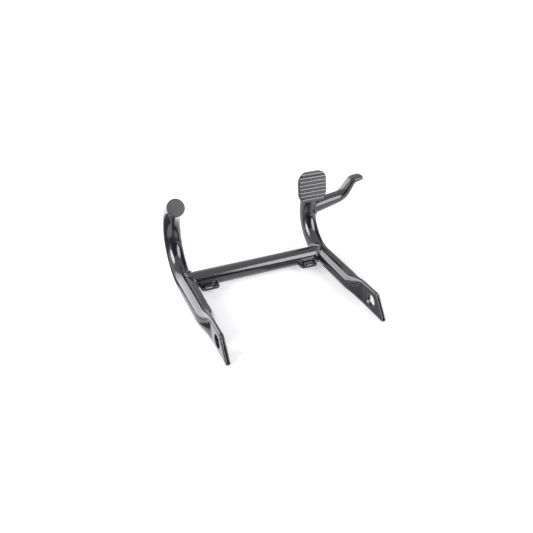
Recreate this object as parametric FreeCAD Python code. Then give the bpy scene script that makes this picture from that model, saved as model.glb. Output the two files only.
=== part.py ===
import FreeCAD, Part
import math
import os

# A centre stand for a motorcycle, one welded steel frame. It lies on its legs with the feet
# curved up. Millimetres, +Z up. The origin is the middle of the pivot axis, +X points from the
# feet to the pivot and +Y along the pivot axis, to the side with the step pad and the lever.

Vector = FreeCAD.Vector

# Leg tubes and the bend at each foot
leg_spacing = 243.0
tube_diameter = 28.0
tube_wall = 2.8
bend_radius = 63.0
bend_angle = 150.0
foot_straight = 5.5

# Cross tube: its distance from the pivot, from the start of the foot bend, and above the leg axes
cross_diameter = 27.2
cross_wall = 2.8
pivot_to_cross = 161.5
cross_to_bend = 7.5
cross_rise = 0.5

# Flattened ears with the pivot hole. They are pressed a little above the axis of the leg. The
# press power is over 1 because the tube flattens faster towards the ear.
ear_seam = 1.2
ear_height = 36.6
ear_rise = 1.8
ear_flat_reach = 25.0
ear_press_length = 38.0
ear_press_power = 1.5
ear_top_reach = 9.5
ear_end_slant = 36.6
ear_top_rounding = 6.0
ear_tip_rounding = 3.0
pivot_hole_diameter = 20.5

# Disc that closes the left foot
cap_thickness = 3.0
cap_rounding = 1.2

# Step pad on the right foot: where it meets the bend, how far it leans back, and its ribs
pad_angle = 131.0
pad_offset = 2.5
pad_inward = 1.1
pad_lean = 8.0
pad_width = 52.8
pad_height = 53.0
pad_corner = 16.5
pad_plate = 3.0
rib_count = 8
rib_pitch = 6.2
rib_height = 1.8
rib_share = 0.8

# Lever arm: three straight runs joined by two bends. Its section is round at the root and nearly
# a flat bar at the tip. The taper power is over 1 because it thins faster towards the tip. The
# root stays inside the leg's tube by a clearance on either side, so that its bead has a seat.
lever_angle = 86.0
lever_root_clearance = 1.5
lever_tip_width = 20.0
lever_tip_thickness = 5.5
lever_tip_rounding = 3.5
lever_rise_angle = 11.9
lever_up_angle = 58.0
lever_tip_angle = 9.0
lever_root_run = 70.0
lever_up_run = 31.7
lever_tip_run = 19.0
lever_first_bend = 28.0
lever_second_bend = 12.0
lever_taper_power = 2.0
lever_root_squareness = 2.0
lever_tip_squareness = 4.0
lever_section_spacing = 20.0

# Spring brackets on the cross tube
bracket_width = 27.0
bracket_to_leg = 5.5
bracket_depth = 3.9
bracket_top = 1.5
bracket_corner = 6.0
flange_depth = 13.9
flange_drop = 7.5
flange_thickness = 3.5
flange_overhang = 3.5
slot_length = 13.0
slot_width = 5.5
slot_edge = 2.2

# Weld beads
bead_radius = 3.2
bracket_bead_radius = 2.0

tube_radius = tube_diameter / 2
lever_root_diameter = tube_diameter - 2 * lever_root_clearance
leg_y = leg_spacing / 2
leg_z = -ear_rise
cross_z = leg_z + cross_rise
cross_x = -pivot_to_cross
bend_x = cross_x + cross_to_bend
ear_thickness = 2 * tube_wall + ear_seam
ear_tip_reach = ear_top_reach + ear_height * math.tan(math.radians(ear_end_slant))
bracket_front = cross_diameter / 2 + bracket_depth
flange_reach = cross_diameter / 2 + flange_depth
bracket_outer_y = leg_y - tube_radius - bracket_to_leg


def bend_point(angle, distance, y):
    """Point in the plane y at a distance from the bend's centre; angle 0 is the straight leg."""
    turn = math.radians(angle)
    height = leg_z + bend_radius - distance * math.cos(turn)
    return Vector(bend_x - distance * math.sin(turn), y, height)


def bend_direction(angle):
    """Direction of the tube at that angle, away from the straight leg."""
    turn = math.radians(angle)
    return Vector(-math.cos(turn), 0, math.sin(turn))


def foot_end(y):
    """Middle of the cut end of a full-length foot."""
    return bend_point(bend_angle, bend_radius, y) + bend_direction(bend_angle) * foot_straight


def oval_wire(x, y, share, inset):
    """Oval of four tangent arcs: the round tube at share 0 and the flat ear at share 1."""
    round_side = math.pi * (tube_diameter - ear_thickness) / 2
    flat_side = ear_height - ear_thickness
    side_length = round_side + (flat_side - round_side) * share
    end_length = math.pi * ear_thickness / 2
    round_spread = round_side / tube_diameter
    spread = round_spread * (1 - share)
    end_radius = end_length / (math.pi - 2 * spread)
    middle_z = leg_z + ear_rise * share
    if share < 1:
        side_radius = side_length / (2 * spread)
        centre_gap = side_radius - end_radius
        end_centre = centre_gap * math.sin(spread)
        half_width = side_radius - centre_gap * math.cos(spread) - inset
    else:
        end_centre = side_length / 2
        half_width = end_radius - inset
    radius = end_radius - inset
    corner_y = radius * math.cos(spread)
    corner_z = end_centre + radius * math.sin(spread)

    def place(across, up):
        return Vector(x, y + across, middle_z + up)

    corners = [place(corner_y, -corner_z), place(corner_y, corner_z),
               place(-corner_y, corner_z), place(-corner_y, -corner_z)]
    middles = [place(half_width, 0), place(0, end_centre + radius),
               place(-half_width, 0), place(0, -end_centre - radius)]
    edges = []
    for index in range(4):
        start = corners[index]
        end = corners[(index + 1) % 4]
        if share == 1 and index % 2 == 0:
            edges.append(Part.LineSegment(start, end).toShape())
        else:
            edges.append(Part.Arc(start, middles[index], end).toShape())
    return Part.Wire(edges)


def leg_form(y, inset):
    """Solid of the leg tube, its radius less the inset: foot bend, straight, pressed ear."""
    press_start = -ear_flat_reach - ear_press_length
    foot_start = bend_point(bend_angle, bend_radius, y)
    path = Part.Wire([
        Part.LineSegment(Vector(press_start, y, leg_z), Vector(bend_x, y, leg_z)).toShape(),
        Part.Arc(Vector(bend_x, y, leg_z), bend_point(bend_angle / 2, bend_radius, y), foot_start).toShape(),
        Part.LineSegment(foot_start, foot_end(y)).toShape()])
    ring = Part.Wire(Part.makeCircle(tube_radius - inset, Vector(press_start, y, leg_z), Vector(-1, 0, 0)))
    tube = path.makePipeShell([ring], True, False)

    sections = []
    steps = 6
    for step in range(steps + 1):
        along = step / steps
        pressed_share = along ** ear_press_power
        sections.append(oval_wire(press_start + ear_press_length * along, y, pressed_share, inset))
    pressed = Part.makeLoft(sections, True, False)

    ear_length = ear_flat_reach + ear_tip_reach + tube_radius
    flat = Part.Face(oval_wire(-ear_flat_reach, y, 1, inset)).extrude(Vector(ear_length, 0, 0))
    return tube.fuse([pressed, flat])


def ear_limit(y):
    """Prism that the leg is kept inside: it cuts the ear's end on a slant, with rounded corners."""
    top = ear_height / 2
    far = 2 * (pivot_to_cross + bend_radius)
    tall = 2 * bend_radius + tube_diameter + ear_height
    outline = [Vector(-far, 0, -top), Vector(ear_tip_reach, 0, -top),
               Vector(ear_top_reach, 0, top), Vector(-ear_flat_reach, 0, top),
               Vector(-ear_flat_reach, 0, tall), Vector(-far, 0, tall)]
    deep = 2 * tube_diameter
    face = Part.Face(Part.makePolygon(outline + [outline[0]]))
    prism = face.extrude(Vector(0, deep, 0))
    prism.translate(Vector(0, y - deep / 2, 0))
    roundings = [(outline[1], ear_tip_rounding), (outline[2], ear_top_rounding)]
    for corner, radius in roundings:
        edges = []
        for edge in prism.Edges:
            ends = [vertex.Point for vertex in edge.Vertexes]
            if all(abs(end.x - corner.x) < 0.01 and abs(end.z - corner.z) < 0.01 for end in ends):
                edges.append(edge)
        prism = prism.makeFillet(radius, edges)
    return prism


def pad_frame():
    """Placement of the step pad: x across the stand, y up the pad, z out of its ribbed face."""
    lean = math.radians(pad_lean)
    up = Vector(-math.sin(lean), 0, math.cos(lean))
    out = Vector(math.cos(lean), 0, math.sin(lean))
    centre = bend_point(pad_angle, bend_radius + pad_offset, leg_y - pad_inward)
    return FreeCAD.Placement(centre, FreeCAD.Rotation(Vector(0, 1, 0), up, out, "ZXY"))


def leg_tube(side):
    """One hollow leg with its pivot hole. The right one stops at the back of the step pad."""
    y = side * leg_y
    tube = leg_form(y, 0).cut(leg_form(y, tube_wall))
    tube = tube.common(ear_limit(y))
    hole = Part.makeCylinder(pivot_hole_diameter / 2, 2 * tube_diameter,
                             Vector(0, y - tube_diameter, 0), Vector(0, 1, 0))
    tube = tube.cut(hole)
    if side > 0:
        tube = tube.cut(pad_space())
    return tube


def pad_space():
    """Block in front of the pad's back plane, which cuts the right tube off on a slant."""
    reach = 2 * tube_diameter
    below = bend_radius / 2
    block = Part.makeBox(2 * reach, below + reach, reach, Vector(-reach, -below, 0))
    block.Placement = pad_frame()
    return block


def solid_leg(side):
    """The leg without its bore, to cut what is fitted to its outside."""
    form = leg_form(side * leg_y, 0)
    if side > 0:
        form = form.cut(pad_space())
    return form


def foot_cap():
    """Disc on the left foot's end, with a rounded outer edge."""
    seat = foot_end(-leg_y)
    disc = Part.makeCylinder(tube_radius, cap_thickness, seat, bend_direction(bend_angle))
    outer = seat + bend_direction(bend_angle) * cap_thickness
    rims = [edge for edge in disc.Edges if (edge.CenterOfMass - outer).Length < 0.01]
    return disc.makeFillet(cap_rounding, rims)


def foot_pad():
    """Rounded plate with half-round ribs across it, as one profile cut to the pad's outline."""
    half_width = pad_width / 2
    half_height = pad_height / 2
    half_rib = rib_pitch * rib_share / 2
    corner = Vector(-half_width, -half_height, 0)
    here = corner + Vector(0, 0, pad_plate)
    edges = [Part.LineSegment(corner, here).toShape()]
    for index in range(rib_count):
        middle = rib_pitch * (index - (rib_count - 1) / 2)
        start = Vector(-half_width, middle - half_rib, pad_plate)
        crest = Vector(-half_width, middle, pad_plate + rib_height)
        end = Vector(-half_width, middle + half_rib, pad_plate)
        edges.append(Part.LineSegment(here, start).toShape())
        edges.append(Part.Arc(start, crest, end).toShape())
        here = end
    top = Vector(-half_width, half_height, pad_plate)
    edges.append(Part.LineSegment(here, top).toShape())
    edges.append(Part.LineSegment(top, Vector(-half_width, half_height, 0)).toShape())
    edges.append(Part.LineSegment(Vector(-half_width, half_height, 0), corner).toShape())
    ribbed = Part.Face(Part.Wire(edges)).extrude(Vector(pad_width, 0, 0))

    outline = Part.makeBox(pad_width, pad_height, pad_plate + rib_height, corner)
    uprights = [edge for edge in outline.Edges
                if abs(edge.tangentAt(edge.FirstParameter).z) > 0.99]
    pad = ribbed.common(outline.makeFillet(pad_corner, uprights))
    pad.Placement = pad_frame()
    return pad


def lever_path():
    """Corner points of the lever's centreline, from the leg's axis to the tip."""
    root = bend_point(lever_angle, bend_radius, leg_y)
    runs = [(lever_rise_angle, lever_root_run), (lever_up_angle, lever_up_run),
            (lever_tip_angle, lever_tip_run)]
    points = [root]
    for angle, length in runs:
        turn = math.radians(angle)
        points.append(points[-1] + Vector(0, math.cos(turn), math.sin(turn)) * length)
    return points


def lever_stations():
    """Places along the lever's centreline: distance from the root, point and direction."""
    points = lever_path()
    bends = [0, lever_first_bend, lever_second_bend, 0]
    stations = []
    travelled = 0.0
    here = points[0]
    for index in range(1, len(points)):
        before = (points[index] - points[index - 1]).normalize()
        if index == len(points) - 1:
            end = points[index]
            half_turn = 0
            tangent = 0
        else:
            after = (points[index + 1] - points[index]).normalize()
            half_turn = before.getAngle(after) / 2
            tangent = bends[index] * math.tan(half_turn)
            end = points[index] - before * tangent
        run = (end - here).Length
        pieces = max(1, round(run / lever_section_spacing))
        for piece in range(pieces):
            share = piece / pieces
            stations.append((travelled + run * share, here + (end - here) * share, before))
        travelled += run
        if half_turn > 0:
            upright = Vector(1, 0, 0).cross(before)
            turn_sign = 1 if upright.dot(after) > 0 else -1
            centre = end + upright * (bends[index] * turn_sign)
            steps = 3
            for step in range(steps):
                angle = 2 * half_turn * step / steps
                spoke = FreeCAD.Rotation(Vector(1, 0, 0), math.degrees(angle) * turn_sign)
                point = centre + spoke.multVec(end - centre)
                stations.append((travelled + bends[index] * angle, point, spoke.multVec(before)))
            travelled += bends[index] * 2 * half_turn
            here = points[index] + after * tangent
        else:
            stations.append((travelled, end, before))
    return stations


def lever_section(point, direction, width, thickness, squareness):
    """Closed smooth section: an ellipse at squareness 2, squarer above it."""
    upright = Vector(1, 0, 0).cross(direction)
    count = 24
    outline = []
    for index in range(count):
        angle = 2 * math.pi * index / count
        across = math.copysign(abs(math.cos(angle)) ** (2 / squareness), math.cos(angle))
        up = math.copysign(abs(math.sin(angle)) ** (2 / squareness), math.sin(angle))
        outline.append(point + Vector(1, 0, 0) * (across * width / 2) + upright * (up * thickness / 2))
    curve = Part.BSplineCurve()
    curve.interpolate(outline, PeriodicFlag=True)
    return Part.Wire(curve.toShape())


def lever_form():
    """Forged arm from the leg's axis to the tip, before its root is fitted to the leg."""
    stations = lever_stations()
    length = stations[-1][0]
    sections = []
    for travelled, point, direction in stations:
        share = travelled / length
        flatness = share ** lever_taper_power
        width = lever_root_diameter + (lever_tip_width - lever_root_diameter) * share
        thickness = lever_root_diameter + (lever_tip_thickness - lever_root_diameter) * flatness
        squareness = lever_root_squareness + (lever_tip_squareness - lever_root_squareness) * flatness
        sections.append(lever_section(point, direction, width, thickness, squareness))
    return Part.makeLoft(sections, True, False)


def lever_outline():
    """Upright prism round the arm, which rounds the two corners of its tip."""
    tip = lever_path()[-1]
    wide = lever_root_diameter
    half_tip = lever_tip_width / 2
    growth = (lever_root_diameter - lever_tip_width) / 2 / lever_stations()[-1][0]
    eased = lever_tip_rounding * (1 - math.sqrt(0.5))
    start = tip.y - lever_tip_rounding

    def place(across, along):
        return Vector(tip.x + across, along, leg_z)

    edges = []
    for side in (1, -1):
        edges.append(Part.LineSegment(place(0, leg_y), place(side * wide, leg_y)).toShape())
        back = place(side * wide, start - lever_tip_rounding)
        edges.append(Part.LineSegment(place(side * wide, leg_y), back).toShape())
        corner = place(side * (half_tip + growth * lever_tip_rounding), start)
        edges.append(Part.LineSegment(back, corner).toShape())
        end = place(side * (half_tip - lever_tip_rounding), tip.y)
        edges.append(Part.Arc(corner, place(side * (half_tip - eased), tip.y - eased), end).toShape())
        edges.append(Part.LineSegment(end, place(0, tip.y)).toShape())
    outline = Part.Wire(Part.__sortEdges__(edges))
    return Part.Face(outline).extrude(Vector(0, 0, 2 * (tip.y - leg_y)))


def lever_arm():
    """The arm, fitted to the outside of the right leg, with the corners of its tip rounded."""
    arm = lever_form().cut(solid_leg(1)).common(lever_outline())
    return max(arm.Solids, key=lambda solid: solid.Volume)


def cross_form(radius):
    """Round bar along the cross tube's axis, from one leg's axis to the other."""
    return Part.makeCylinder(radius, leg_spacing, Vector(cross_x, -leg_y, cross_z), Vector(0, 1, 0))


def cross_tube():
    """The cross tube between the legs, its ends coped to their round outsides."""
    tube = cross_form(cross_diameter / 2).cut(cross_form(cross_diameter / 2 - cross_wall))
    return tube.cut([solid_leg(-1), solid_leg(1)])


def spring_bracket(side):
    """Pressed bracket: a rounded upright on the front of the cross tube and a slotted flange."""
    outer = side * bracket_outer_y
    inner = outer - side * bracket_width
    low_y = min(outer, inner)
    top = cross_z + bracket_top
    bottom = cross_z - flange_drop
    upright = Part.makeBox(bracket_front, bracket_width, top - bottom, Vector(cross_x, low_y, bottom))
    front_edges = [edge for edge in upright.Edges
                   if edge.Length > top - bottom - 0.01
                   and abs(edge.tangentAt(edge.FirstParameter).z) > 0.99
                   and abs(edge.CenterOfMass.x - cross_x - bracket_front) < 0.01]
    upright = upright.makeFillet(bracket_corner, front_edges)

    flange_inner = inner - side * flange_overhang
    flange_low = min(outer, flange_inner)
    flange_width = bracket_width + flange_overhang
    flange = Part.makeBox(flange_reach, flange_width, flange_thickness,
                          Vector(cross_x, flange_low, bottom))
    corners = [edge for edge in flange.Edges
               if abs(edge.tangentAt(edge.FirstParameter).z) > 0.99
               and abs(edge.CenterOfMass.x - cross_x - flange_reach) < 0.01]
    flange = flange.makeFillet(bracket_corner, corners)

    slot_x = cross_x + flange_reach - slot_edge - slot_width / 2
    slot_y = (outer + inner) / 2
    half_slot = (slot_length - slot_width) / 2
    slot = Part.makeBox(slot_width, 2 * half_slot, flange_thickness,
                        Vector(slot_x - slot_width / 2, slot_y - half_slot, bottom))
    for end in (-half_slot, half_slot):
        slot = slot.fuse(Part.makeCylinder(slot_width / 2, flange_thickness,
                                           Vector(slot_x, slot_y + end, bottom)))
    bracket = upright.fuse(flange).cut([slot, cross_form(cross_diameter / 2)])
    return bracket.removeSplitter()


def leg_gap(point, side):
    """Distance from a point to the round outside of a leg, negative inside it."""
    up = point.z - leg_z
    if point.x > bend_x:
        from_axis = up
    else:
        from_axis = math.hypot(point.x - bend_x, up - bend_radius) - bend_radius
    return math.hypot(from_axis, point.y - side * leg_y) - tube_radius


def crossing(inside, outside, gap):
    """Point between two others where the gap is zero, by halving."""
    for _ in range(40):
        middle = (inside + outside) * 0.5
        if gap(middle) < 0:
            inside = middle
        else:
            outside = middle
    return inside


def bead_along(points):
    """Round bead lofted through rings along a closed smooth curve through the points.

    Each ring starts on the side inside the joined pieces, so the bead's seam is cut away with it.
    """
    ring_start = FreeCAD.Rotation(Vector(0, 0, 1), -135)
    curve = Part.BSplineCurve()
    curve.interpolate(points, PeriodicFlag=True)
    centre = Vector(0, 0, 0)
    for point in points:
        centre += point * (1 / len(points))
    rings = []
    for point in points:
        heading = curve.tangent(curve.parameter(point))[0]
        circle = Part.Wire(Part.makeCircle(bead_radius))
        turned = FreeCAD.Rotation(point - centre, Vector(), heading, "ZXY")
        circle.Placement = FreeCAD.Placement(point, turned * ring_start)
        rings.append(circle)
    return Part.makeLoft(rings, True, False, True)


def bead_round_bar(root, direction, radius, side):
    """Bead where a round bar that starts on a leg's axis comes out of the leg."""
    upright = Vector(1, 0, 0).cross(direction)
    count = 24
    points = []
    for index in range(count):
        angle = 2 * math.pi * index / count
        inside = root + Vector(1, 0, 0) * (radius * math.cos(angle)) + upright * (radius * math.sin(angle))
        outside = inside + direction * tube_diameter
        points.append(crossing(inside, outside, lambda point: leg_gap(point, side)))
    return bead_along(points)


def cross_weld(side):
    """Bead round the cross tube where it meets a leg."""
    root = Vector(cross_x, side * leg_y, cross_z)
    bead = bead_round_bar(root, Vector(0, -side, 0), cross_diameter / 2, side)
    return bead.cut([solid_leg(side), cross_form(cross_diameter / 2)])


def lever_weld():
    """Bead round the lever arm where it leaves the leg."""
    points = lever_path()
    direction = (points[1] - points[0]).normalize()
    taper = (lever_root_diameter - lever_tip_width) / lever_stations()[-1][0]
    diameter = lever_root_diameter - taper * tube_radius
    bead = bead_round_bar(points[0], direction, diameter / 2, 1)
    return bead.cut(solid_leg(1)).cut(lever_form())


def pad_weld():
    """Bead round the slanted end of the right tube, on the back of the step pad."""
    frame = pad_frame()
    out = frame.Rotation.multVec(Vector(0, 0, 1))
    count = 24
    quarter_turn = 90
    points = []
    for index in range(count):
        around = 2 * math.pi * index / count
        low = quarter_turn
        high = bend_angle
        for _ in range(40):
            middle = (low + high) / 2
            distance = bend_radius + tube_radius * math.cos(around)
            point = bend_point(middle, distance, leg_y + tube_radius * math.sin(around))
            if (point - frame.Base).dot(out) < 0:
                low = middle
            else:
                high = middle
        points.append(point)
    return bead_along(points).cut([solid_leg(1), pad_space()])


def bracket_weld(side):
    """Two straight beads, over and under a spring bracket, along the cross tube."""
    outer = side * bracket_outer_y
    low_y = min(outer, outer - side * bracket_width)
    beads = []
    for height in (bracket_top, -flange_drop):
        front = math.sqrt((cross_diameter / 2) ** 2 - height ** 2)
        start = Vector(cross_x + front, low_y, cross_z + height)
        beads.append(Part.makeCylinder(bracket_bead_radius, bracket_width, start, Vector(0, 1, 0)))
    both = Part.makeCompound(beads)
    return both.cut([cross_form(cross_diameter / 2), spring_bracket(side)])


parts = {
    "left_leg_tube": leg_tube(-1),
    "right_leg_tube": leg_tube(1),
    "cross_tube": cross_tube(),
    "left_foot_cap": foot_cap(),
    "foot_pad": foot_pad(),
    "lever_arm": lever_arm(),
    "left_spring_bracket": spring_bracket(-1),
    "right_spring_bracket": spring_bracket(1),
    "left_cross_weld": cross_weld(-1),
    "right_cross_weld": cross_weld(1),
    "lever_weld": lever_weld(),
    "pad_weld": pad_weld(),
    "left_bracket_weld": bracket_weld(-1),
    "right_bracket_weld": bracket_weld(1),
}

os.makedirs("parts", exist_ok=True)
for name, shape in parts.items():
    shape.exportStep("parts/" + name + ".step")
    print(name, len(shape.Solids), round(shape.Volume, 1), shape.isValid())
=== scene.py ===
import math

import bmesh
import bpy
from mathutils import Matrix, Quaternion, Vector


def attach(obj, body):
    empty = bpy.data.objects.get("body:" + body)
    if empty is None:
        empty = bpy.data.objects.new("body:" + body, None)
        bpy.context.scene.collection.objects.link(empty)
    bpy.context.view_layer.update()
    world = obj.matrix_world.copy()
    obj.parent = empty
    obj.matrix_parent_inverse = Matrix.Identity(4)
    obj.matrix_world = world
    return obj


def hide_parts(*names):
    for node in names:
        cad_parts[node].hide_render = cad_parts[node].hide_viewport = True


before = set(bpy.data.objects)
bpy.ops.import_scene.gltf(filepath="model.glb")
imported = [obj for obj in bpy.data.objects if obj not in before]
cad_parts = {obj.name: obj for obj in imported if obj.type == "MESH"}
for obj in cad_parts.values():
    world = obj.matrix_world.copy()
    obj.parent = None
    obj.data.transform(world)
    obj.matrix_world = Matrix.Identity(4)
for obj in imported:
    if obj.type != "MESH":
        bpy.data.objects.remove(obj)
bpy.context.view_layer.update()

# Leg tubes
# Two drawn steel tubes, each bent up at the foot and pressed flat at the other end to an ear with
# the pivot hole. They carry everything else and are dipped in black gloss enamel after welding.
mm = 0.001
x_axis = Vector((1, 0, 0))
y_axis = Vector((0, 1, 0))
z_axis = Vector((0, 0, 1))
leg_y = 121.5 * mm
leg_up = -1.8 * mm
leg_radius = 14 * mm
leg_wall = 2.8 * mm
bend_start = -154 * mm
bend_radius = 63 * mm
bend_turn = math.radians(150)
foot_straight = 5.5 * mm
foot_axis = Vector((-math.cos(bend_turn), 0, math.sin(bend_turn)))
press_start = -63 * mm
flat_start = -25 * mm
press_power = 1.5
ear_thickness = 6.8 * mm
ear_height = 36.6 * mm
ear_top_reach = 9.5 * mm
ear_slant = math.tan(math.radians(36.6))
ear_top_rounding = 6 * mm
ear_tip_rounding = 3 * mm
lip_rounding = 1.3 * mm
pivot_hole_radius = 10.25 * mm
tube_points = 128
ring_points = 96

# Where the step pad sits, because the right tube is cut off on a slant along its back
pad_turn = math.radians(131)
pad_offset = 2.5 * mm
pad_inward = 1.1 * mm
pad_lean = math.radians(8)


def linear(code):
    """Linear colour of an sRGB hex code."""
    values = [int(code[index:index + 2], 16) / 255 for index in (1, 3, 5)]
    return [v / 12.92 if v <= 0.04045 else ((v + 0.055) / 1.055) ** 2.4 for v in values] + [1]


def add_node(tree, kind, settings=None, links=None):
    """A node with its settings by attribute or input name, and its inputs' links."""
    node = tree.nodes.new(kind)
    for key, value in (settings or {}).items():
        if isinstance(key, str) and hasattr(node, key):
            setattr(node, key, value)
        else:
            node.inputs[key].default_value = value
    for key, source in (links or {}).items():
        tree.links.new(source, node.inputs[key])
    return node


def gloss_enamel(name, dark, light, roughness, peel, polish=0.12):
    """Black enamel over steel: a dark ground, a clear hard gloss and a faint orange peel."""
    material = bpy.data.materials.new(name)
    material.use_nodes = True
    tree = material.node_tree
    tree.nodes.clear()
    place = add_node(tree, "ShaderNodeTexCoord").outputs["Object"]
    # Clouds 45 mm wide, where the dipped coat is a little thicker or thinner
    cloud = add_node(tree, "ShaderNodeTexNoise", {"Scale": 22, "Detail": 3, "Roughness": 0.55},
                     {"Vector": place})
    colour = add_node(tree, "ShaderNodeMix", {"data_type": "RGBA", 6: linear(dark), 7: linear(light)},
                      {0: cloud.outputs["Fac"]})
    # Haze 9 mm wide in the gloss, as of handling
    haze = add_node(tree, "ShaderNodeTexNoise", {"Scale": 110, "Detail": 4}, {"Vector": place})
    dull = add_node(tree, "ShaderNodeMapRange",
                    {"From Min": 0.3, "From Max": 0.7,
                     "To Min": roughness * 0.85, "To Max": roughness * 1.2},
                    {"Value": haze.outputs["Fac"]})
    # Orange peel with dimples 2.5 mm apart, drawn that coarse so that it shows
    dimples = add_node(tree, "ShaderNodeTexNoise", {"Scale": 400, "Detail": 1}, {"Vector": place})
    rounded = add_node(tree, "ShaderNodeBevel", {"samples": 4, "Radius": 0.6 * mm})
    bump = add_node(tree, "ShaderNodeBump", {"Strength": peel, "Distance": 0.1 * mm},
                    {"Height": dimples.outputs["Fac"], "Normal": rounded.outputs["Normal"]})
    shader = add_node(tree, "ShaderNodeBsdfPrincipled",
                      {"IOR": 1.5, "Coat Weight": 1.0, "Coat Roughness": polish, "Coat IOR": 1.5},
                      {"Base Color": colour.outputs[2], "Roughness": dull.outputs["Result"],
                       "Normal": bump.outputs["Normal"], "Coat Normal": bump.outputs["Normal"]})
    add_node(tree, "ShaderNodeOutputMaterial", {}, {"Surface": shader.outputs["BSDF"]})
    return material


# Dipped over smooth drawn tube: near black, with long clear highlights
tube_enamel = gloss_enamel("black_gloss_enamel_on_tube", "#121217", "#191921", 0.16, 0.25)


def tidy(mesh, sharp=35):
    """Merges doubles, turns the faces outwards and shades smooth up to the sharp angle."""
    work = bmesh.new()
    work.from_mesh(mesh)
    bmesh.ops.remove_doubles(work, verts=work.verts, dist=0.001 * mm)
    bmesh.ops.recalc_face_normals(work, faces=work.faces)
    work.to_mesh(mesh)
    work.free()
    mesh.polygons.foreach_set("use_smooth", [True] * len(mesh.polygons))
    mesh.set_sharp_from_angle(angle=math.radians(sharp))


def skin(name, rings, ends, sharp=35):
    """Mesh over rings of points. "caps" closes both ends, "joined" joins the last ring to the first."""
    mesh = bpy.data.meshes.new(name)
    count = len(rings[0])
    rows = len(rings)
    points = [point for ring in rings for point in ring]
    faces = []
    for row in range(rows if ends == "joined" else rows - 1):
        here = row * count
        there = (row + 1) % rows * count
        for index in range(count):
            after = (index + 1) % count
            faces.append((here + index, here + after, there + after, there + index))
    if ends == "caps":
        faces.append(tuple(range(count))[::-1])
        faces.append(tuple(range((rows - 1) * count, rows * count)))
    mesh.from_pydata(points, [], faces)
    tidy(mesh, sharp)
    return mesh


def round_points(centre, right, up, radius, count):
    """Points round a circle about a centre, from its right side towards its top."""
    points = []
    for index in range(count):
        angle = 2 * math.pi * index / count
        points.append(centre + right * radius * math.cos(angle) + up * radius * math.sin(angle))
    return points


def place_piece(name, mesh, material, *nodes):
    """Links a finished mesh, gives it its finish and lets it ride on the stand for its CAD nodes."""
    piece = bpy.data.objects.new(name, mesh)
    bpy.context.scene.collection.objects.link(piece)
    mesh.materials.clear()
    mesh.materials.append(material)
    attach(piece, "root")
    if nodes:
        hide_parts(*nodes)


def made_mesh(name, source):
    """Plain mesh of an object with its modifiers, and the object removed."""
    bpy.context.view_layer.update()
    depsgraph = bpy.context.evaluated_depsgraph_get()
    mesh = bpy.data.meshes.new_from_object(source.evaluated_get(depsgraph), depsgraph=depsgraph)
    mesh.name = name
    bpy.data.objects.remove(source)
    return mesh


def cut_with(mesh, name, cutter_mesh):
    """The first mesh less the second."""
    body = bpy.data.objects.new(name, mesh)
    cutter = bpy.data.objects.new(name + "_cutter", cutter_mesh)
    for item in (body, cutter):
        bpy.context.scene.collection.objects.link(item)
    cut = body.modifiers.new("cut", "BOOLEAN")
    cut.operation = "DIFFERENCE"
    cut.solver = "EXACT"
    cut.object = cutter
    made = made_mesh(name, body)
    bpy.data.objects.remove(cutter)
    tidy(made)
    return made


def border(low, high, is_before):
    """The place between two values up to which a test is true."""
    halvings = 30
    for _ in range(halvings):
        middle = (low + high) / 2
        if is_before(middle):
            low = middle
        else:
            high = middle
    return high


def bend_point(turn, distance, y):
    """Point beside the bend's centre; turn 0 is the straight leg."""
    return Vector((bend_start - distance * math.sin(turn), y,
                   leg_up + bend_radius - distance * math.cos(turn)))


pad_centre = bend_point(pad_turn, bend_radius + pad_offset, leg_y - pad_inward)
pad_up = Vector((-math.sin(pad_lean), 0, math.cos(pad_lean)))
pad_out = Vector((math.cos(pad_lean), 0, math.sin(pad_lean)))


def meets_pad(distance, y):
    """How far round the bend a line of the right tube meets the back of the step pad."""
    def before_pad(turn):
        return (bend_point(turn, distance, y) - pad_centre).dot(pad_out) < 0
    return border(math.pi / 2, bend_turn, before_pad)


def tube_section(pressed, inset):
    """Points of the tube's section as (across, up), evenly spaced round it.

    It is round at pressed 0 and the flat ear at pressed 1. Two side arcs open out as they flatten.
    """
    round_run = math.pi * (2 * leg_radius - ear_thickness) / 2
    side_run = round_run + (ear_height - ear_thickness - round_run) * pressed
    end_run = math.pi * ear_thickness / 2
    spread = round_run / (2 * leg_radius) * (1 - pressed)
    end_radius = end_run / (math.pi - 2 * spread)
    if spread > 0:
        side_radius = side_run / (2 * spread)
        gap = side_radius - end_radius
        side_centre = -gap * math.cos(spread)
        end_centre = gap * math.sin(spread)
    else:
        end_centre = side_run / 2
    quarter = []
    steps = tube_points // 4
    for step in range(steps + 1):
        run = (side_run + end_run) / 2 * step / steps
        if run <= side_run / 2 and spread > 0:
            angle = run / side_radius
            radius = side_radius - inset
            quarter.append((side_centre + radius * math.cos(angle), radius * math.sin(angle)))
        elif run <= side_run / 2:
            quarter.append((end_radius - inset, run))
        else:
            angle = spread + (run - side_run / 2) / end_radius
            radius = end_radius - inset
            quarter.append((radius * math.cos(angle), end_centre + radius * math.sin(angle)))
    half = quarter + [(-across, up) for across, up in quarter[-2::-1]]
    return half + [(across, -up) for across, up in half[-2:0:-1]]


def ear_end(up):
    """How far the ear reaches at a height: a slanted end with a rounding at the top and at the tip."""
    top = ear_height / 2
    up = max(-top, min(top, up))
    reach = ear_top_reach + (top - up) * ear_slant
    lean = math.atan(ear_slant)
    for rounding, height, opening in ((ear_top_rounding, top, math.pi / 2 + lean),
                                      (ear_tip_rounding, -top, math.pi / 2 - lean)):
        back = rounding / math.tan(opening / 2)
        corner = ear_top_reach + (top - height) * ear_slant
        from_edge = abs(up - height)
        if from_edge < back * math.cos(lean):
            inside = math.sqrt(max(0, rounding ** 2 - (rounding - from_edge) ** 2))
            reach = min(reach, corner - back + inside)
    return reach


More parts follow.
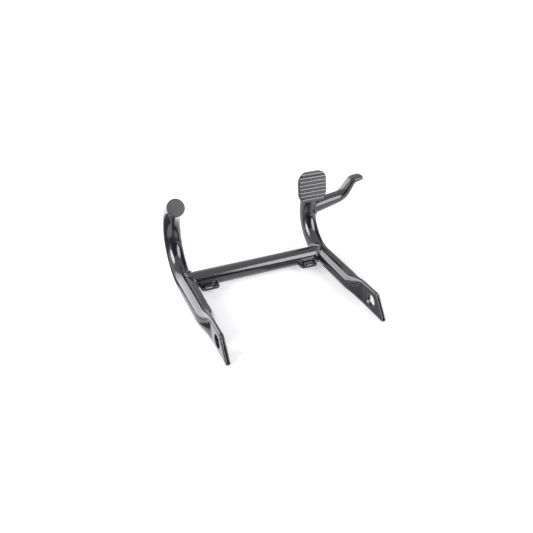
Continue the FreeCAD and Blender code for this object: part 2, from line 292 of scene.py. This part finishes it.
def leg_rings(side, inset):
    """Rings of one face of the tube wall, from the foot to the ear."""
    y = side * leg_y
    circle = tube_section(0, inset)
    rings = []
    if side < 0:
        for share in (1, 0.5):
            rings.append([bend_point(bend_turn, bend_radius - up, y + across)
                          + foot_axis * foot_straight * share for across, up in circle])
        ends = [bend_turn] * len(circle)
    else:
        ends = [meets_pad(bend_radius - up, y + across) for across, up in circle]
    bend_steps = 72
    for step in range(bend_steps, -1, -1):
        rings.append([bend_point(end * step / bend_steps, bend_radius - up, y + across)
                      for (across, up), end in zip(circle, ends)])
    straight_steps = 12
    for step in range(1, straight_steps):
        x = bend_start + (press_start - bend_start) * step / straight_steps
        rings.append([Vector((x, y + across, leg_up + up)) for across, up in circle])
    press_steps = 32
    for step in range(press_steps):
        pressed = (step / press_steps) ** press_power
        x = press_start + (flat_start - press_start) * step / press_steps
        rings.append([Vector((x, y + across, leg_up * (1 - pressed) + up))
                      for across, up in tube_section(pressed, inset)])
    flat_steps = 8
    for step in range(flat_steps + 1):
        ring = []
        for across, up in tube_section(1, inset):
            run = ear_end(up) - lip_rounding - flat_start
            ring.append(Vector((flat_start + run * step / flat_steps, y + across, up)))
        rings.append(ring)
    return rings


def ear_lip(side):
    """Rings round the ear's rounded lip, from the outside of the wall to its inside."""
    rings = []
    steps = 8
    for step in range(1, steps):
        angle = math.pi * step / steps
        inset = leg_wall / 2 * (1 - math.cos(angle))
        set_back = lip_rounding * (1 - math.sin(angle))
        rings.append([Vector((ear_end(up) - set_back, side * leg_y + across, up))
                      for across, up in tube_section(1, inset)])
    return rings


for side, name in ((-1, "left_leg"), (1, "right_leg")):
    outside = leg_rings(side, 0)
    inside = leg_rings(side, leg_wall)
    wall = skin(name, outside + ear_lip(side) + inside[::-1], "joined")
    hole = [round_points(y_axis * (side * leg_y + reach), x_axis, z_axis, pivot_hole_radius, ring_points)
            for reach in (-ear_thickness, ear_thickness)]
    wall = cut_with(wall, name, skin(name + "_hole", hole, "caps"))
    place_piece(name, wall, tube_enamel, name + "_tube")

# Cross tube
# A length of steel tube a little thinner than the legs, its ends ground to a saddle so that they
# fit round the legs before they are welded.
cross_x = -161.5 * mm
cross_up = -1.3 * mm
cross_radius = 13.6 * mm
cross_wall = 2.8 * mm
cross_steps = 24


def leg_gap(point, side):
    """Distance from a point to the outside of a leg's round part, below 0 inside it."""
    up = point.z - leg_up
    if point.x > bend_start:
        off_axis = up
    else:
        off_axis = math.hypot(point.x - bend_start, up - bend_radius) - bend_radius
    return math.hypot(off_axis, point.y - side * leg_y) - leg_radius


def leaves_leg(start, direction, side):
    """Where a line that starts inside a leg comes out of it."""
    def in_leg(run):
        return leg_gap(start + direction * run, side) < 0
    return start + direction * border(0, 2 * leg_radius, in_leg)


def bar_seam(root, direction, radius, side, count):
    """Closed line where a round bar comes out of a leg."""
    starts = round_points(root, x_axis, x_axis.cross(direction), radius, count)
    return [leaves_leg(start, direction, side) for start in starts]


cross_rings = []
for radius, order in ((cross_radius, 1), (cross_radius - cross_wall, -1)):
    left_seam = bar_seam(Vector((cross_x, -leg_y, cross_up)), y_axis, radius, -1, tube_points)
    right_seam = [Vector((point.x, -point.y, point.z)) for point in left_seam]
    span = [[a.lerp(b, step / cross_steps) for a, b in zip(left_seam, right_seam)]
            for step in range(cross_steps + 1)]
    cross_rings += span[::order]
place_piece("cross_bar", skin("cross_bar", cross_rings, "joined"), tube_enamel, "cross_tube")

# Welds of the cross tube
# One bead of filler metal round each end of the cross tube, laid by hand in short ripples and
# covered by the same enamel, a little duller on the ripples.
bead_radius = 3.2 * mm
ripple_pitch = 2.6 * mm
ripple_depth = 0.22
# The dip over a hand-laid bead: black too, but the gloss breaks up into many small glints
weld_enamel = gloss_enamel("black_gloss_enamel_on_weld", "#121316", "#1c1d22", 0.2, 0.6)


def start_tree(name, sizes):
    """A node tree that takes lines, named sizes and a finish, with its inputs' identifiers by name."""
    tree = bpy.data.node_groups.new(name, "GeometryNodeTree")
    kinds = {"Geometry": "NodeSocketGeometry"}
    kinds.update({size: "NodeSocketFloat" for size in sizes})
    kinds["Finish"] = "NodeSocketMaterial"
    inputs = {}
    for label, kind in kinds.items():
        socket = tree.interface.new_socket(name=label, in_out="INPUT", socket_type=kind)
        inputs[label] = socket.identifier
    tree.interface.new_socket(name="Geometry", in_out="OUTPUT", socket_type="NodeSocketGeometry")
    return tree, inputs


def end_tree(tree, given, made):
    """Ends a tree in a real mesh with the finish that the tree is given."""
    real = add_node(tree, "GeometryNodeRealizeInstances", {}, {"Geometry": made.outputs["Mesh"]})
    finish = add_node(tree, "GeometryNodeSetMaterial", {},
                      {"Geometry": real.outputs["Geometry"], "Material": given["Finish"]})
    add_node(tree, "NodeGroupOutput", {}, {"Geometry": finish.outputs["Geometry"]})


def bead_tree():
    """Geometry Nodes: a bead along the input's edges, its radius stepping down over each ripple."""
    tree, inputs = start_tree("weld_bead", ("Bead Radius", "Ripple Pitch", "Ripple Depth"))
    given = add_node(tree, "NodeGroupInput").outputs
    line = add_node(tree, "GeometryNodeMeshToCurve", {}, {"Mesh": given["Geometry"]})
    step = add_node(tree, "ShaderNodeMath", {"operation": "DIVIDE", 1: 8}, {0: given["Ripple Pitch"]})
    even = add_node(tree, "GeometryNodeResampleCurve", {"mode": "LENGTH"},
                    {"Curve": line.outputs["Curve"], "Length": step.outputs[0]})
    travelled = add_node(tree, "GeometryNodeSplineParameter").outputs["Length"]
    ripples = add_node(tree, "ShaderNodeMath", {"operation": "DIVIDE"},
                       {0: travelled, 1: given["Ripple Pitch"]})
    within = add_node(tree, "ShaderNodeMath", {"operation": "FRACT"}, {0: ripples.outputs[0]})
    fall = add_node(tree, "ShaderNodeMath", {"operation": "MULTIPLY"},
                    {0: within.outputs[0], 1: given["Ripple Depth"]})
    # Hand-laid beads swell and shrink every 8 mm or so; the noise is fixed by its place
    swell = add_node(tree, "ShaderNodeTexNoise",
                     {"noise_dimensions": "4D", "W": 3.0, "Scale": 120, "Detail": 0})
    uneven = add_node(tree, "ShaderNodeMapRange", {"To Min": 0.9, "To Max": 1.14},
                      {"Value": swell.outputs["Fac"]})
    share = add_node(tree, "ShaderNodeMath", {"operation": "SUBTRACT"},
                     {0: uneven.outputs["Result"], 1: fall.outputs[0]})
    thick = add_node(tree, "GeometryNodeSetCurveRadius", {},
                     {"Curve": even.outputs["Curve"], "Radius": share.outputs[0]})
    profile = add_node(tree, "GeometryNodeCurvePrimitiveCircle", {"Resolution": 20},
                       {"Radius": given["Bead Radius"]})
    bead = add_node(tree, "GeometryNodeCurveToMesh", {"Fill Caps": True},
                    {"Curve": thick.outputs["Curve"], "Profile Curve": profile.outputs["Curve"]})
    end_tree(tree, given, bead)
    return tree, inputs


def along_lines(name, tree, lines, values):
    """Plain mesh of a node tree run over lines, each a list of points and whether it is closed."""
    points = []
    edges = []
    for line, closed in lines:
        first = len(points)
        points += line
        edges += [(first + index, first + index + 1) for index in range(len(line) - 1)]
        if closed:
            edges.append((len(points) - 1, first))
    mesh = bpy.data.meshes.new(name + "_line")
    mesh.from_pydata(points, edges, [])
    source = bpy.data.objects.new(name + "_source", mesh)
    bpy.context.scene.collection.objects.link(source)
    modifier = source.modifiers.new("nodes", "NODES")
    modifier.node_group = tree
    for identifier, value in values.items():
        modifier[identifier] = value
    made = made_mesh(name, source)
    tidy(made, sharp=50)
    return made


weld_nodes, weld_inputs = bead_tree()


def lay_bead(name, lines, radius, depth, *nodes):
    """Lays one piece of weld along its lines, in place of the CAD's plain bead."""
    values = {weld_inputs["Bead Radius"]: radius, weld_inputs["Ripple Pitch"]: ripple_pitch,
              weld_inputs["Ripple Depth"]: depth, weld_inputs["Finish"]: weld_enamel}
    place_piece(name, along_lines(name, weld_nodes, lines, values), weld_enamel, *nodes)


for side, name in ((-1, "left"), (1, "right")):
    root = Vector((cross_x, side * leg_y, cross_up))
    seam = bar_seam(root, y_axis * -side, cross_radius, side, ring_points)
    lay_bead(name + "_cross_bead", [(seam, True)], bead_radius, ripple_depth, name + "_cross_weld")

# Disc on the left foot
# A round steel blank that closes the open end of the left tube, welded flush and ground round at
# its edge before the enamel.
disc_thickness = 3 * mm
disc_rounding = 1.2 * mm
disc_steps = 8
# A thin coat on flat sheet: dark grey and half dull, so that the disc shows as one even tone
disc_enamel = gloss_enamel("black_enamel_on_flat_steel", "#25262b", "#2f3037", 0.45, 0.35, 0.4)
disc_seat = bend_point(bend_turn, bend_radius, -leg_y) + foot_axis * foot_straight
profile = [(leg_radius, 0)]
for step in range(disc_steps + 1):
    angle = math.pi / 2 * step / disc_steps
    profile.append((leg_radius - disc_rounding * (1 - math.cos(angle)),
                    disc_thickness - disc_rounding * (1 - math.sin(angle))))
profile += [(leg_radius * share, disc_thickness) for share in (0.7, 0.4, 0.1)]
disc_up = foot_axis.cross(y_axis)
disc_rings = [round_points(disc_seat + foot_axis * height, y_axis, disc_up, radius, ring_points)
              for radius, height in profile]
place_piece("foot_disc", skin("foot_disc", disc_rings, "caps"), disc_enamel, "left_foot_cap")

# Step pad
# The plate that the rider treads on: pressed steel, 3 mm thick, with eight half-round ribs rolled
# across it against slipping. It is welded over the slanted end of the right tube.
pad_width = 52.8 * mm
pad_height = 53 * mm
pad_corner = 16.5 * mm
pad_plate = 3 * mm
pad_edge = 0.8 * mm
pad_bead_sunk = 0.4 * mm
rib_count = 8
rib_pitch = 6.2 * mm
rib_width = 5 * mm
rib_height = 1.8 * mm
rib_end_gap = 1.5 * mm
# On the tread plate the coat is greyer, with a clear gloss that lights up the crest of each rib
pad_enamel = gloss_enamel("black_enamel_on_ribs", "#28292e", "#38393f", 0.25, 0.3, 0.1)
pad_place = Matrix((y_axis, pad_up, pad_out)).transposed().to_4x4()
pad_place.translation = pad_centre


def rounded_outline(width, height, corner, steps=10):
    """Outline of a rectangle with round corners, about its middle."""
    outline = []
    for quarter, (sx, sy) in enumerate(((1, 1), (-1, 1), (-1, -1), (1, -1))):
        for step in range(steps + 1):
            angle = math.pi / 2 * (quarter + step / steps)
            outline.append((sx * (width / 2 - corner) + corner * math.cos(angle),
                            sy * (height / 2 - corner) + corner * math.sin(angle)))
    return outline


def plate_mesh(name, outlines, thickness, rounding, place):
    """Plate of a thickness from its outlines, with rounded edges, its underside on the place's plane."""
    curve = bpy.data.curves.new(name, "CURVE")
    curve.dimensions = "2D"
    curve.fill_mode = "BOTH"
    curve.extrude = thickness / 2 - rounding
    curve.bevel_depth = rounding
    curve.bevel_resolution = 4
    curve.offset = -rounding
    for outline in outlines:
        spline = curve.splines.new("POLY")
        spline.points.add(len(outline) - 1)
        for point, (x, y) in zip(spline.points, outline):
            point.co = (x, y, 0, 1)
        spline.use_cyclic_u = True
    source = bpy.data.objects.new(name, curve)
    bpy.context.scene.collection.objects.link(source)
    mesh = made_mesh(name, source)
    mesh.transform(place @ Matrix.Translation((0, 0, thickness / 2)))
    tidy(mesh)
    return mesh


pad_outline = rounded_outline(pad_width, pad_height, pad_corner)
plate = plate_mesh("step_plate", [pad_outline], pad_plate, pad_edge, pad_place)
place_piece("step_plate", plate, pad_enamel, "foot_pad")

rib_lines = []
for index in range(rib_count):
    height = rib_pitch * (index - (rib_count - 1) / 2)
    into_corner = max(0, abs(height) + pad_corner - pad_height / 2)
    reach = pad_width / 2 - pad_corner + math.sqrt(pad_corner ** 2 - into_corner ** 2) - rib_end_gap
    rib_lines.append(([Vector((end * reach, height, pad_plate)) for end in (-1, 1)], False))


def rib_tree():
    """Geometry Nodes: a flattened bar along each of the input's edges, half sunk in the plate."""
    tree, inputs = start_tree("step_ribs", ("Rib Width", "Rib Height"))
    given = add_node(tree, "NodeGroupInput").outputs
    line = add_node(tree, "GeometryNodeMeshToCurve", {}, {"Mesh": given["Geometry"]})
    upright = add_node(tree, "GeometryNodeSetCurveNormal", {"mode": "Z_UP"},
                       {"Curve": line.outputs["Curve"]})
    half = add_node(tree, "ShaderNodeMath", {"operation": "DIVIDE", 1: 2}, {0: given["Rib Width"]})
    size = add_node(tree, "ShaderNodeCombineXYZ", {"Z": 1},
                    {"X": half.outputs[0], "Y": given["Rib Height"]})
    circle = add_node(tree, "GeometryNodeCurvePrimitiveCircle", {"Resolution": 40, "Radius": 1})
    profile = add_node(tree, "GeometryNodeTransform", {},
                       {"Geometry": circle.outputs["Curve"], "Scale": size.outputs[0]})
    bars = add_node(tree, "GeometryNodeCurveToMesh", {"Fill Caps": True},
                    {"Curve": upright.outputs["Curve"], "Profile Curve": profile.outputs["Geometry"]})
    end_tree(tree, given, bars)
    return tree, inputs


rib_nodes, rib_inputs = rib_tree()
ribs = along_lines("step_ribs", rib_nodes, rib_lines,
                   {rib_inputs["Rib Width"]: rib_width, rib_inputs["Rib Height"]: rib_height,
                    rib_inputs["Finish"]: pad_enamel})
ribs.transform(pad_place)
place_piece("step_ribs", ribs, pad_enamel)

pad_seam = []
for index in range(ring_points):
    around = 2 * math.pi * index / ring_points
    distance = bend_radius + leg_radius * math.cos(around)
    y = leg_y + leg_radius * math.sin(around)
    pad_seam.append(bend_point(meets_pad(distance, y), distance, y) - pad_out * pad_bead_sunk)
lay_bead("pad_bead", [(pad_seam, True)], bead_radius, ripple_depth, "pad_weld")

# Lever arm
# A forged steel arm for the rider's heel: round where it is welded to the leg, thinner along its
# rise, and turned over to a flat tongue at its tip.
lever_root = bend_point(math.radians(86), bend_radius, leg_y)
lever_runs = ((math.radians(11.9), 70 * mm), (math.radians(58), 31.7 * mm), (math.radians(9), 19 * mm))
lever_bends = (28 * mm, 12 * mm)
lever_root_width = 25 * mm
lever_tip_width = 20 * mm
lever_tip_thickness = 5.5 * mm
lever_tip_rounding = 3.5 * mm
lever_station_gap = 1.2 * mm
lever_bend_steps = 12
lever_points = 80
lever_sunk = 0.5 * mm
lever_rings_in_leg = 4
lever_seam_sunk = 0.3 * mm
lever_bead_radius = bead_radius * 0.9
# Dipped over a forging: as black as the tubes, with a little more orange peel
lever_enamel = gloss_enamel("black_gloss_enamel_on_forging", "#131417", "#1c1d22", 0.2, 0.45)


def lever_line():
    """Stations along the middle of the lever: the way travelled, the point and the direction."""
    corners = [lever_root]
    for angle, length in lever_runs:
        corners.append(corners[-1] + Vector((0, math.cos(angle), math.sin(angle))) * length)
    directions = [(after - before).normalized() for before, after in zip(corners, corners[1:])]
    stations = []
    travelled = 0
    here = lever_root
    for index, direction in enumerate(directions):
        corner = corners[index + 1]
        last = index == len(directions) - 1
        turn = 0 if last else lever_runs[index + 1][0] - lever_runs[index][0]
        radius = 0 if last else lever_bends[index]
        set_back = radius * math.tan(abs(turn) / 2)
        end = corner - direction * set_back
        run = (end - here).length
        steps = max(2, round(run / lever_station_gap))
        for step in range(steps):
            stations.append((travelled + run * step / steps, here.lerp(end, step / steps), direction))
        travelled += run
        if last:
            stations.append((travelled, end, direction))
            return stations
        upright = x_axis.cross(direction) * math.copysign(1, turn)
        for step in range(lever_bend_steps):
            turned = abs(turn) * step / lever_bend_steps
            sine, cosine = math.sin(turned), math.cos(turned)
            stations.append((travelled + radius * turned,
                             end + direction * radius * sine + upright * radius * (1 - cosine),
                             direction * cosine + upright * sine))
        travelled += radius * abs(turn)
        here = corner + directions[index + 1] * set_back


lever_stations = lever_line()
lever_length, lever_tip, _ = lever_stations[-1]
lever_start = lever_stations[0][2]
lever_rings = []
for distance, point, direction in lever_stations:
    # The section thins with the square of the way and only squares off close to the tip
    share = distance / lever_length
    thinned = share ** 2
    width = lever_root_width + (lever_tip_width - lever_root_width) * share
    thickness = lever_root_width + (lever_tip_thickness - lever_root_width) * thinned
    power = 2 / (2 + 2 * thinned ** 3)
    to_tip = max(0, lever_tip.y - point.y)
    if to_tip < lever_tip_rounding:
        from_round = lever_tip_rounding - to_tip
        width -= 2 * (lever_tip_rounding - math.sqrt(lever_tip_rounding ** 2 - from_round ** 2))
    upright = x_axis.cross(direction)
    ring = []
    for index in range(lever_points):
        angle = 2 * math.pi * index / lever_points
        across = math.copysign(abs(math.cos(angle)) ** power, math.cos(angle)) * width / 2
        up = math.copysign(abs(math.sin(angle)) ** power, math.sin(angle)) * thickness / 2
        corner = point + x_axis * across + upright * up
        if leg_gap(corner, 1) <= -lever_sunk:
            corner = leaves_leg(corner, lever_start, 1)
        ring.append(corner)
    lever_rings.append(ring)
lever = skin("heel_lever", lever_rings[lever_rings_in_leg:], "caps", sharp=50)
place_piece("heel_lever", lever, lever_enamel, "lever_arm")
lever_seam = bar_seam(lever_root, lever_start, lever_root_width / 2 - lever_seam_sunk, 1, ring_points)
lay_bead("lever_bead", [(lever_seam, True)], lever_bead_radius, ripple_depth, "lever_weld")

# Spring brackets
# Two small steel pressings welded to the front of the cross tube. The flange at the foot of each
# has a slot for the hook of a return spring.
bracket_outer = 102 * mm
bracket_width = 27 * mm
bracket_back = 10.5 * mm
bracket_front = 17.5 * mm
bracket_top = 1.5 * mm
bracket_corner = 6 * mm
bracket_edge = 0.8 * mm
flange_back = 11 * mm
flange_reach = 27.5 * mm
flange_drop = 7.5 * mm
flange_thickness = 3.5 * mm
flange_overhang = 3.5 * mm
flange_edge = 0.7 * mm
slot_length = 13 * mm
slot_width = 5.5 * mm
slot_edge = 2.2 * mm
# The slot's ends fall short of a half circle by a hair, so that no two points of them meet
slot_corner = slot_width / 2 - 0.01 * mm
bracket_bead_radius = 2 * mm
bracket_bead_end = 1 * mm
bracket_ripple_depth = 0.2


def tongue_outline(back, front, low, high, corner, steps=8):
    """Outline of a flat bar with square corners at the back and round ones at the front."""
    outline = [(back, high), (back, low)]
    for height, start in ((low + corner, -math.pi / 2), (high - corner, 0)):
        for step in range(steps + 1):
            angle = start + math.pi / 2 * step / steps
            outline.append((front - corner + corner * math.cos(angle), height + corner * math.sin(angle)))
    return outline


for side, name in ((-1, "left"), (1, "right")):
    outer = side * bracket_outer
    inner = outer - side * bracket_width
    low_y, high_y = sorted((outer, inner))
    flange_low, flange_high = sorted((outer, inner - side * flange_overhang))
    upright_outline = tongue_outline(bracket_back, bracket_front, low_y, high_y, bracket_corner)
    flange_outline = tongue_outline(flange_back, flange_reach, flange_low, flange_high, bracket_corner)
    slot_middle = (outer + inner) / 2
    slot_outline = [(x + flange_reach - slot_edge - slot_width / 2, y + slot_middle)
                    for x, y in rounded_outline(slot_width, slot_length, slot_corner)]
    bottom = Matrix.Translation((cross_x, 0, cross_up - flange_drop))
    upright = plate_mesh(name + "_upright", [upright_outline], bracket_top + flange_drop,
                         bracket_edge, bottom)
    flange = plate_mesh(name + "_flange", [flange_outline, slot_outline], flange_thickness,
                        flange_edge, bottom)
    both = bmesh.new()
    both.from_mesh(upright)
    both.from_mesh(flange)
    both.to_mesh(upright)
    both.free()
    tidy(upright)
    place_piece(name + "_bracket", upright, tube_enamel, name + "_spring_bracket")
    beads = []
    for height in (bracket_top, -flange_drop):
        front = cross_x + math.sqrt(cross_radius ** 2 - height ** 2)
        ends = (low_y + bracket_bead_end, high_y - bracket_bead_end)
        beads.append(([Vector((front, y, cross_up + height)) for y in ends], False))
    lay_bead(name + "_bracket_beads", beads, bracket_bead_radius, bracket_ripple_depth,
             name + "_bracket_weld")

# Camera
# It stands where the photograph was taken from, worked out from the straight and the round
# outlines of the object.
camera_at = Vector((568.312, -305.859, 477.854)) * mm
camera_roll = -0.00718
looking = Vector((-0.78117, 0.34798, -0.51834)).normalized()
level = looking.cross(z_axis).normalized()
camera_right = Quaternion(looking, camera_roll) @ level
camera_up = camera_right.cross(looking)
turned = Matrix((camera_right, camera_up, -looking)).transposed()
camera_data = bpy.data.cameras.new("camera")
camera_data.sensor_width = 36
camera_data.lens = 37.84
camera = bpy.data.objects.new("camera", camera_data)
bpy.context.scene.collection.objects.link(camera)
camera.matrix_world = Matrix.Translation(camera_at) @ turned.to_4x4()
bpy.context.scene.camera = camera

# Studio
# White paper under a white sky, and three round softboxes that give the gloss its light bands.
# Grey felts, hidden from the camera, stand round the object for its darker bands and lie on the paper as
# painted shade.
floor_level = -18.4 * mm
floor_size = 30
aim = Vector((-110 * mm, 0, 30 * mm))
lamp_distance = 1.5
flag_distance = 1.8
shade_sheet_lift = 1 * mm


def backdrop_rays(tree):
    """1 for the rays that show the backdrop: the camera's, and those from gloss or through glass."""
    rays = add_node(tree, "ShaderNodeLightPath").outputs
    seen = rays["Is Camera Ray"]
    for kind in ("Is Glossy Ray", "Is Transmission Ray"):
        seen = add_node(tree, "ShaderNodeMath", {"operation": "ADD", "use_clamp": True},
                        {0: seen, 1: rays[kind]}).outputs[0]
    return seen


bpy.ops.mesh.primitive_plane_add(size=floor_size, location=(0, 0, floor_level))
floor = bpy.context.object
floor.name = "floor"
paper = bpy.data.materials.new("white_backdrop_paper")
paper.use_nodes = True
tree = paper.node_tree
tree.nodes.clear()
# The paper has a painted glow, weaker near the object and growing from 0.4 to 1.3 m away, so that it is
# white far off where the lamps' light falls off
spot = add_node(tree, "ShaderNodeTexCoord").outputs["Object"]
away = add_node(tree, "ShaderNodeVectorMath", {"operation": "LENGTH"}, {0: spot})
share = add_node(tree, "ShaderNodeMapRange",
                 {"From Min": 0.4, "From Max": 1.3, "To Min": 0.45, "To Max": 1},
                 {"Value": away.outputs["Value"]})
glow = add_node(tree, "ShaderNodeMath", {"operation": "MULTIPLY"},
                {0: backdrop_rays(tree), 1: share.outputs["Result"]})
sheet = add_node(tree, "ShaderNodeBsdfPrincipled",
                 {"Base Color": linear("#ebebeb"), "Roughness": 0.9, "Emission Color": linear("#ffffff")},
                 {"Emission Strength": glow.outputs[0]})
add_node(tree, "ShaderNodeOutputMaterial", {}, {"Surface": sheet.outputs["BSDF"]})
floor.data.materials.append(paper)

world = bpy.data.worlds.new("studio")
bpy.context.scene.world = world
world.use_nodes = True
tree = world.node_tree
tree.nodes.clear()
# White at the horizon and a little darker overhead, but only 0.2 as a light on the object
place = add_node(tree, "ShaderNodeTexCoord").outputs["Generated"]
height = add_node(tree, "ShaderNodeSeparateXYZ", {}, {0: place})
share = add_node(tree, "ShaderNodeMapRange",
                 {"From Min": 0.4, "From Max": 0.7, "To Min": 1, "To Max": 0.85},
                 {"Value": height.outputs["Z"]})
strength = add_node(tree, "ShaderNodeMapRange", {"To Min": 0.2},
                    {"Value": backdrop_rays(tree), "To Max": share.outputs["Result"]})
sky = add_node(tree, "ShaderNodeBackground", {"Color": (1, 1, 1, 1)},
               {"Strength": strength.outputs["Result"]})
add_node(tree, "ShaderNodeOutputWorld", {}, {"Surface": sky.outputs["Background"]})


def stand_at(thing, turn, rise, distance):
    """Places a lamp or a flag round the object, facing it. Turn 0 is +X, 90 is +Y."""
    turn, rise = math.radians(turn), math.radians(rise)
    way = Vector((math.cos(rise) * math.cos(turn), math.cos(rise) * math.sin(turn), math.sin(rise)))
    facing = (-way).to_track_quat("-Z", "Y")
    thing.matrix_world = Matrix.Translation(aim + way * distance) @ facing.to_matrix().to_4x4()


for name, turn, rise, wide, high, glow in (("front_right_softbox", 40.5, 28.5, 1.06, 1.24, 4.3),
                                           ("left_softbox", -77, 23, 0.8, 0.92, 7.5),
                                           ("back_left_softbox", -150, 22, 1.6, 1.4, 2.2)):
    lamp_data = bpy.data.lights.new(name, "AREA")
    lamp_data.shape = "ELLIPSE"
    lamp_data.color = (0.965, 0.955, 1)
    lamp_data.size = wide
    lamp_data.size_y = high
    lamp_data.energy = glow * math.pi * wide * high
    lamp = bpy.data.objects.new(name, lamp_data)
    bpy.context.scene.collection.objects.link(lamp)
    stand_at(lamp, turn, rise, lamp_distance)

# Grey felts for the flags, and for the sheets of painted shade that lie on the paper
felts = {}
for name, shade in (("dark_grey_shade_felt", "#606060"), ("light_grey_shade_felt", "#c4c4c4")):
    felt = bpy.data.materials.new(name)
    felt.use_nodes = True
    shader = felt.node_tree.nodes["Principled BSDF"]
    shader.inputs["Base Color"].default_value = linear(shade)
    shader.inputs["Roughness"].default_value = 1
    felts[name] = felt


def felt_sheet(name, wide, high, felt):
    """A flat sheet of felt that the camera doesn't see and that casts no shadow."""
    bpy.ops.mesh.primitive_plane_add(size=1)
    made = bpy.context.object
    made.name = name
    made.data.transform(Matrix.Diagonal((wide, high, 1, 1)))
    made.data.materials.append(felts[felt])
    made.visible_camera = False
    made.visible_shadow = False
    return made


for name, turn, rise, wide, high, felt in (("left_flag", -16, 22, 2.6, 1.55, "dark_grey_shade_felt"),
                                           ("front_flag", 38, 4, 1.3, 0.5, "dark_grey_shade_felt"),
                                           ("right_flag", 98, 22, 2.6, 1.55, "dark_grey_shade_felt"),
                                           ("back_flag", 137, 15, 1.2, 1.2, "light_grey_shade_felt")):
    stand_at(felt_sheet(name, wide, high, felt), turn, rise, flag_distance)

# Painted shade: grey sheets that lie on the paper from one corner to another and darken its reflection
# beside and between the legs, where it lies in shade, and where it is lit less. Only reflections show
# them.
for name, low, high, felt in (("front_painted_shade", (0.06, -0.2), (1.9, 0.25), "dark_grey_shade_felt"),
                              ("left_painted_shade", (-0.3, -1.7), (1.9, -0.29), "dark_grey_shade_felt"),
                              ("leg_painted_shade", (-0.07, -0.29), (1.9, -0.15), "dark_grey_shade_felt"),
                              ("inner_painted_shade", (-0.14, 0.02), (0.06, 0.115), "light_grey_shade_felt"),
                              ("ear_painted_shade", (-0.03, -0.11), (0.06, 0.02), "light_grey_shade_felt"),
                              ("foot_painted_shade", (-0.36, -0.29), (-0.19, -0.15), "dark_grey_shade_felt"),
                              ("right_back_painted_shade", (-1.9, 0.16), (-0.24, 1.9), "light_grey_shade_felt")):
    shade_sheet = felt_sheet(name, high[0] - low[0], high[1] - low[1], felt)
    shade_sheet.location = ((low[0] + high[0]) / 2, (low[1] + high[1]) / 2, floor_level + shade_sheet_lift)
    shade_sheet.visible_diffuse = False

bpy.context.scene.view_settings.view_transform = "Standard"
